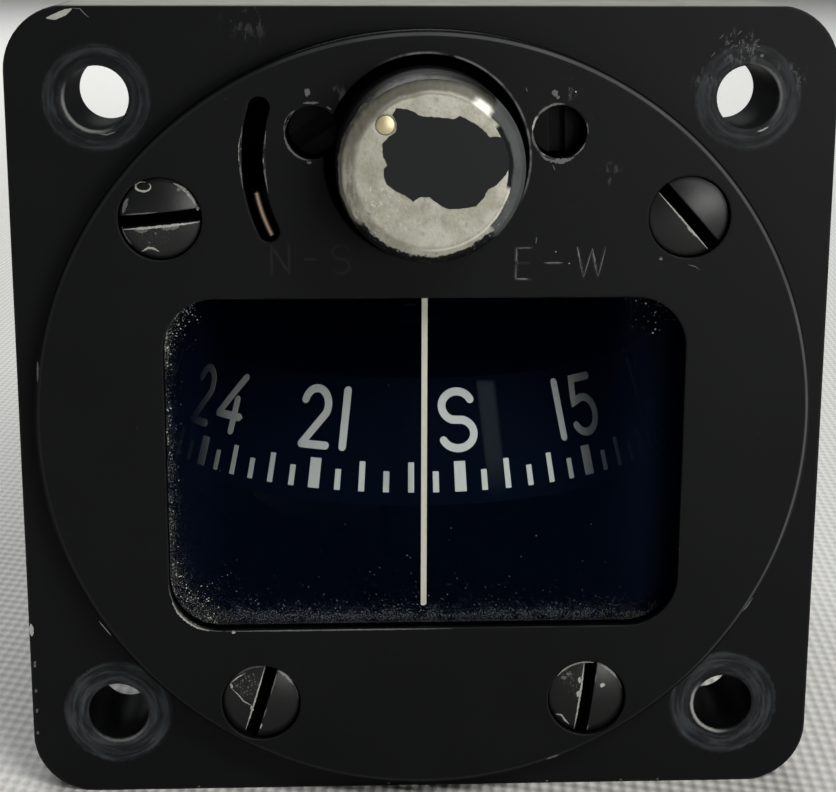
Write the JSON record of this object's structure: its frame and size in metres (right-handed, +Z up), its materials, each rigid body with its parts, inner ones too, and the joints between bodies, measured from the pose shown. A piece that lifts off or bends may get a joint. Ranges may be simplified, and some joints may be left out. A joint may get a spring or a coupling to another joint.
{
  "type": "aircraft compass",
  "caption": "Panel-mounted standby magnetic compass with a square flange, windowed front plate, conical card on a jewelled pivot, lamp cap and geared deviation correctors.",
  "frame": {"origin": "centre of the flange's rear face, where it meets the panel", "axes": "+X right seen from the front, +Y into the panel away from the pilot, +Z up"},
  "size_m": [0.0604, 0.08, 0.0604],
  "materials": {
    "black_casting": "satin black paint on a casting",
    "face_paint": "satin black paint, worn at the edges",
    "dark_steel": "blackened steel, worn bright on the heads",
    "pane": "clear flat glass",
    "seal_rubber": "dull rubber",
    "cream_paint": "cream luminous paint",
    "clear_block": "clear moulded block",
    "brass": "turned brass",
    "cap_metal": "bare metal with remains of black paint",
    "plain_steel": "plain steel",
    "insulation": "brown laminate",
    "bulb_glass": "clear bulb glass",
    "magnet": "ground magnet alloy",
    "plain_alloy": "machined light alloy",
    "card_paint": "matt black card",
    "float_black": "matt black float",
    "jewel_red": "polished jewel",
    "copper": "soft copper"
  },
  "bodies": {
    "case": {"case_body": "black_casting", "front_plate": "face_paint", "face_screws": "dark_steel", "window_glass": "pane", "window_seal": "seal_rubber", "lubber_line": "cream_paint", "light_guide": "clear_block", "lamp_socket": "brass", "socket_clip": "plain_steel", "lamp_insulator": "insulation", "lamp_contact": "brass", "corrector_frame": "plain_alloy", "frame_screws": "plain_steel", "gear_studs": "plain_steel", "stud_clips": "plain_steel", "jewel_cushion": "seal_rubber", "pivot_post": "float_black", "card_retainer": "float_black", "rear_gasket": "seal_rubber", "rear_plate": "plain_alloy", "bellows": "brass", "bellows_ring": "brass", "rear_cover": "black_casting", "rear_screws": "plain_steel", "lead_grommet": "seal_rubber", "filler_plug": "brass", "filler_washer": "copper"},
    "bulb": {"bulb_glass": "bulb_glass", "bulb_base": "brass"},
    "cap": {"lamp_cap": "cap_metal", "cap_rivet": "brass", "bulb_grip": "brass"},
    "dimmer": {"dimmer_lever": "brass"},
    "ns_knob": {"ns_spindle": "dark_steel"},
    "ns_lead": {"ns_lead_gear": "brass", "ns_lead_magnet": "magnet"},
    "ns_trail": {"ns_trail_gear": "brass", "ns_trail_magnet": "magnet"},
    "ew_knob": {"ew_spindle": "dark_steel"},
    "ew_lead": {"ew_lead_gear": "brass", "ew_lead_magnets": "magnet"},
    "ew_trail": {"ew_trail_gear": "brass", "ew_trail_magnets": "magnet"},
    "jewel_seat": {"jewel": "jewel_red", "jewel_holder": "brass"},
    "card": {"card_ring": "card_paint", "card_float": "float_black", "ring_magnet": "magnet", "pivot_hub": "brass", "pivot_needle": "plain_steel"},
    "bellows_cap": {"bellows_end": "brass"}
  },
  "joints": [
    {"name": "bulb_draw", "type": "slide", "parent": "case", "child": "bulb", "axis": [0, -1, 0], "range_m": [0, 0.005]},
    {"name": "lamp_cap_turn", "type": "hinge", "parent": "bulb", "child": "cap", "pos_m": [0, -0.015, 0.01955], "axis": [0, -1, 0], "range_deg": [0, 1800.01]},
    {"name": "dimmer_swing", "type": "hinge", "parent": "case", "child": "dimmer", "pos_m": [0, -0.005, 0.01955], "axis": [0, 1, 0], "range_deg": [0, 30]},
    {"name": "ns_turn", "type": "hinge", "parent": "case", "child": "ns_knob", "pos_m": [-0.0081, 0, 0.0214], "axis": [0, 1, 0], "continuous": true},
    {"name": "ns_lead_turn", "type": "hinge", "parent": "case", "child": "ns_lead", "pos_m": [-0.0113, 0.012, 0.01632], "axis": [0, 1, 0], "continuous": true},
    {"name": "ns_trail_turn", "type": "hinge", "parent": "case", "child": "ns_trail", "pos_m": [-0.0033, 0.012, 0.01632], "axis": [0, 1, 0], "continuous": true},
    {"name": "ew_turn", "type": "hinge", "parent": "case", "child": "ew_knob", "pos_m": [0.0095, 0, 0.0214], "axis": [0, 1, 0], "continuous": true},
    {"name": "ew_lead_turn", "type": "hinge", "parent": "case", "child": "ew_lead", "pos_m": [0.0095, 0.02194, 0.015], "axis": [0, 0, 1], "continuous": true},
    {"name": "ew_trail_turn", "type": "hinge", "parent": "case", "child": "ew_trail", "pos_m": [0.0015, 0.02194, 0.015], "axis": [0, 0, 1], "continuous": true},
    {"name": "jewel_sink", "type": "slide", "parent": "case", "child": "jewel_seat", "axis": [0, 0, 1], "range_m": [-0.0006, 0], "stiffness_N_per_m": 600, "springref_m": 0.0006, "deforming": ["jewel_cushion"]},
    {"name": "card_turn", "type": "hinge", "parent": "jewel_seat", "child": "card", "pos_m": [0, 0.016, -0.00358], "axis": [0, 0, 1], "continuous": true},
    {"name": "bellows_breathe", "type": "slide", "parent": "case", "child": "bellows_cap", "axis": [0, 1, 0], "range_m": [-0.001, 0.001], "stiffness_N_per_m": 2000, "deforming": ["bellows"]}
  ],
  "couplings": [
    {"joint": "lamp_cap_turn", "follows": "bulb_draw", "rad_per_m": 6283.2},
    {"joint": "ns_lead_turn", "follows": "ns_turn", "ratio": -0.5},
    {"joint": "ns_trail_turn", "follows": "ns_turn", "ratio": 0.5},
    {"joint": "ew_lead_turn", "follows": "ew_turn", "ratio": -0.5},
    {"joint": "ew_trail_turn", "follows": "ew_turn", "ratio": 0.5}
  ]
}
